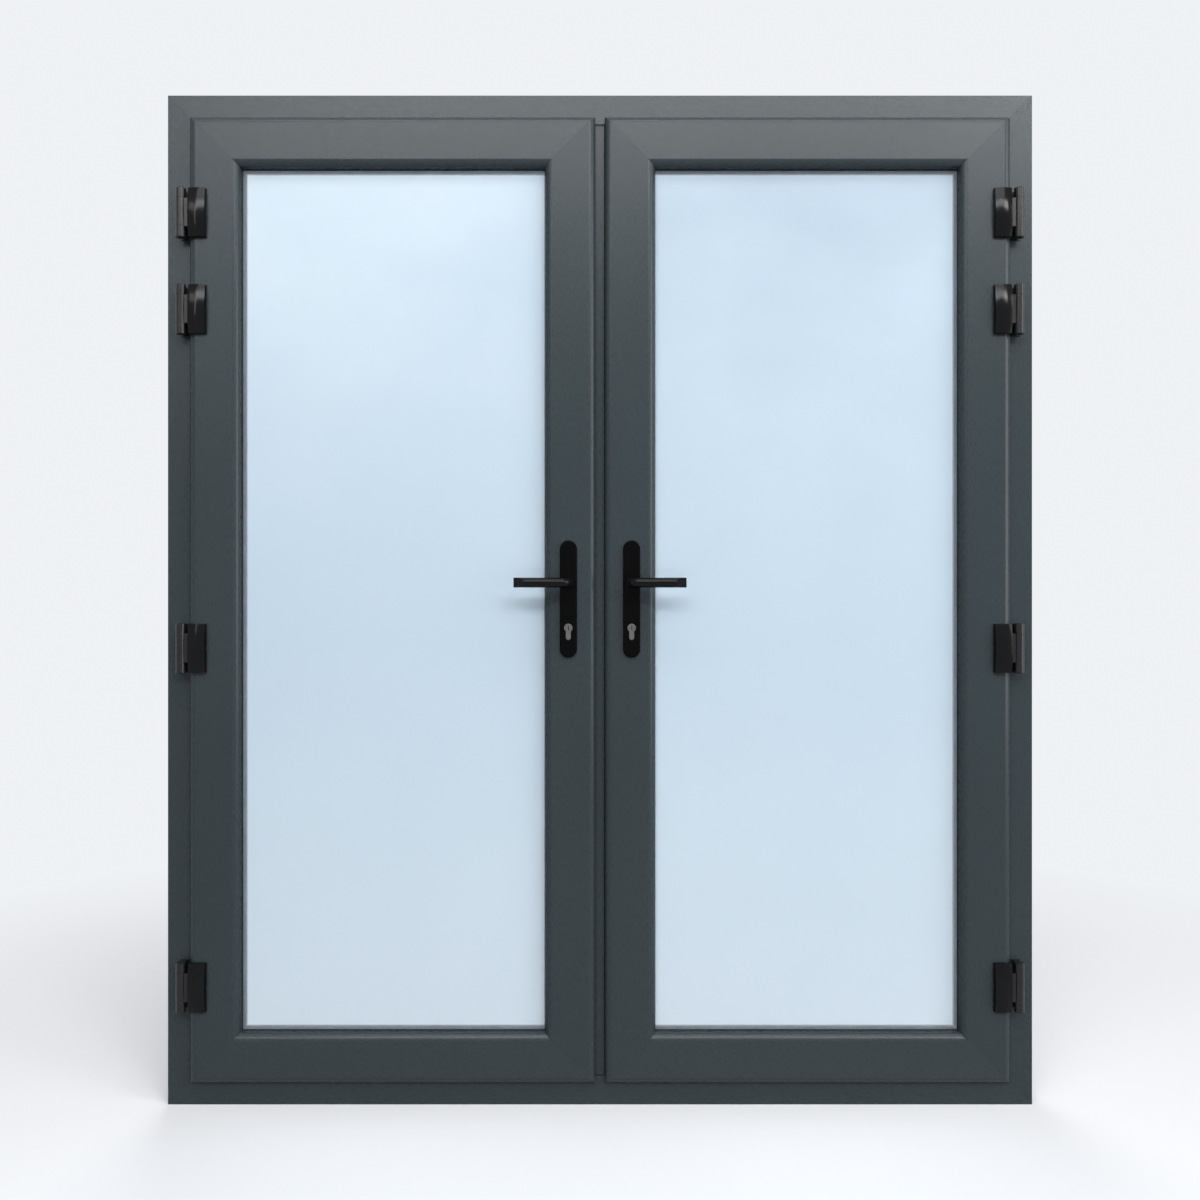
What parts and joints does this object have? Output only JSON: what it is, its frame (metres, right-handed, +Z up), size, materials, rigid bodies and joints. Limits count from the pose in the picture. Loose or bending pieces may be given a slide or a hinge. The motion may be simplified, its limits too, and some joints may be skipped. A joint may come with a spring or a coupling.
{
  "type": "french doors",
  "caption": "Outward-opening glazed french doors in a grey plastic frame, with black levers, key cylinders, flag hinges and shootbolts.",
  "frame": {"origin": "middle of the threshold's underside, at half the frame's depth", "axes": "+Z up, +X to the right as seen from outside, +Y from outside into the room"},
  "size_m": [1.79, 0.184, 2.09],
  "materials": {
    "foiled_plastic": "woodgrain foil, satin",
    "black_metal": "gloss powder coat",
    "black_gloss": "gloss moulding",
    "galvanised_steel": "zinc plated",
    "satin_nickel": "satin nickel plate",
    "spacer_metal": "mill finish",
    "gasket_rubber": "matt",
    "nylon": "moulded",
    "packer_plastic": "moulded",
    "glass": "clear float glass"
  },
  "bodies": {
    "frame": {"frame_head": "foiled_plastic", "frame_threshold": "foiled_plastic", "frame_left_jamb": "foiled_plastic", "frame_right_jamb": "foiled_plastic", "frame_steels": "galvanised_steel", "frame_gasket": "gasket_rubber", "left_jamb_hinges": "black_metal", "right_jamb_hinges": "black_metal", "hinge_pins": "black_metal", "shootbolt_keeps": "galvanised_steel"},
    "left_door": {"left_top_rail": "foiled_plastic", "left_bottom_rail": "foiled_plastic", "left_hinge_stile": "foiled_plastic", "left_lock_stile": "foiled_plastic", "left_steels": "galvanised_steel", "left_panes": "glass", "left_spacer": "spacer_metal", "left_beads": "foiled_plastic", "left_gaskets": "gasket_rubber", "left_packers": "packer_plastic", "left_leaf_hinges": "black_metal", "left_hinge_bushes": "nylon", "left_hinge_covers": "black_gloss", "left_handle_plates": "black_metal", "left_cylinder": "satin_nickel", "left_lock_case": "galvanised_steel", "left_faceplate": "galvanised_steel", "mullion": "foiled_plastic", "mullion_end_caps": "packer_plastic"},
    "left_lever": {"left_outer_lever": "black_metal", "left_inner_lever": "black_metal", "left_spindle": "galvanised_steel"},
    "left_plug": {"left_cylinder_plug": "satin_nickel"},
    "left_upper_bolt": {"left_upper_shootbolt": "galvanised_steel"},
    "left_lower_bolt": {"left_lower_shootbolt": "galvanised_steel"},
    "right_door": {"right_top_rail": "foiled_plastic", "right_bottom_rail": "foiled_plastic", "right_hinge_stile": "foiled_plastic", "right_lock_stile": "foiled_plastic", "right_steels": "galvanised_steel", "right_panes": "glass", "right_spacer": "spacer_metal", "right_beads": "foiled_plastic", "right_gaskets": "gasket_rubber", "right_packers": "packer_plastic", "right_leaf_hinges": "black_metal", "right_hinge_bushes": "nylon", "right_hinge_covers": "black_gloss", "right_handle_plates": "black_metal", "right_cylinder": "satin_nickel", "right_lock_case": "galvanised_steel", "right_faceplate": "galvanised_steel", "right_meeting_seal": "gasket_rubber"},
    "right_lever": {"right_outer_lever": "black_metal", "right_inner_lever": "black_metal", "right_spindle": "galvanised_steel"},
    "right_plug": {"right_cylinder_plug": "satin_nickel"},
    "right_upper_bolt": {"right_upper_shootbolt": "galvanised_steel"},
    "right_lower_bolt": {"right_lower_shootbolt": "galvanised_steel"}
  },
  "joints": [
    {"name": "left_door_swing", "type": "hinge", "parent": "frame", "child": "left_door", "pos_m": [-0.8596, -0.057, 0], "axis": [0, 0, -1], "range_deg": [0, 110]},
    {"name": "left_lever_turn", "type": "hinge", "parent": "left_door", "child": "left_lever", "pos_m": [-0.06475, -0.007, 1.08], "axis": [0, 1, 0], "range_deg": [-45, 45], "stiffness_Nm_per_rad": 4, "springref_deg": 4.58},
    {"name": "left_plug_turn", "type": "hinge", "parent": "left_door", "child": "left_plug", "pos_m": [-0.06475, -0.007, 0.988], "axis": [0, 1, 0], "continuous": true},
    {"name": "left_upper_bolt_slide", "type": "slide", "parent": "left_door", "child": "left_upper_bolt", "axis": [0, 0, 1], "range_m": [-0.022, 0.022]},
    {"name": "left_lower_bolt_slide", "type": "slide", "parent": "left_door", "child": "left_lower_bolt", "axis": [0, 0, -1], "range_m": [-0.022, 0.022]},
    {"name": "right_door_swing", "type": "hinge", "parent": "frame", "child": "right_door", "pos_m": [0.8596, -0.057, 0], "axis": [0, 0, 1], "range_deg": [0, 110]},
    {"name": "right_lever_turn", "type": "hinge", "parent": "right_door", "child": "right_lever", "pos_m": [0.06475, -0.007, 1.08], "axis": [0, -1, 0], "range_deg": [-45, 45], "stiffness_Nm_per_rad": 4, "springref_deg": 4.58},
    {"name": "right_plug_turn", "type": "hinge", "parent": "right_door", "child": "right_plug", "pos_m": [0.06475, -0.007, 0.988], "axis": [0, 1, 0], "continuous": true},
    {"name": "right_upper_bolt_slide", "type": "slide", "parent": "right_door", "child": "right_upper_bolt", "axis": [0, 0, 1], "range_m": [-0.022, 0.022]},
    {"name": "right_lower_bolt_slide", "type": "slide", "parent": "right_door", "child": "right_lower_bolt", "axis": [0, 0, -1], "range_m": [-0.022, 0.022]}
  ],
  "couplings": [
    {"joint": "left_upper_bolt_slide", "follows": "left_lever_turn", "m_per_rad": 0.028},
    {"joint": "left_lower_bolt_slide", "follows": "left_lever_turn", "m_per_rad": 0.028},
    {"joint": "right_upper_bolt_slide", "follows": "right_lever_turn", "m_per_rad": 0.028},
    {"joint": "right_lower_bolt_slide", "follows": "right_lever_turn", "m_per_rad": 0.028}
  ]
}
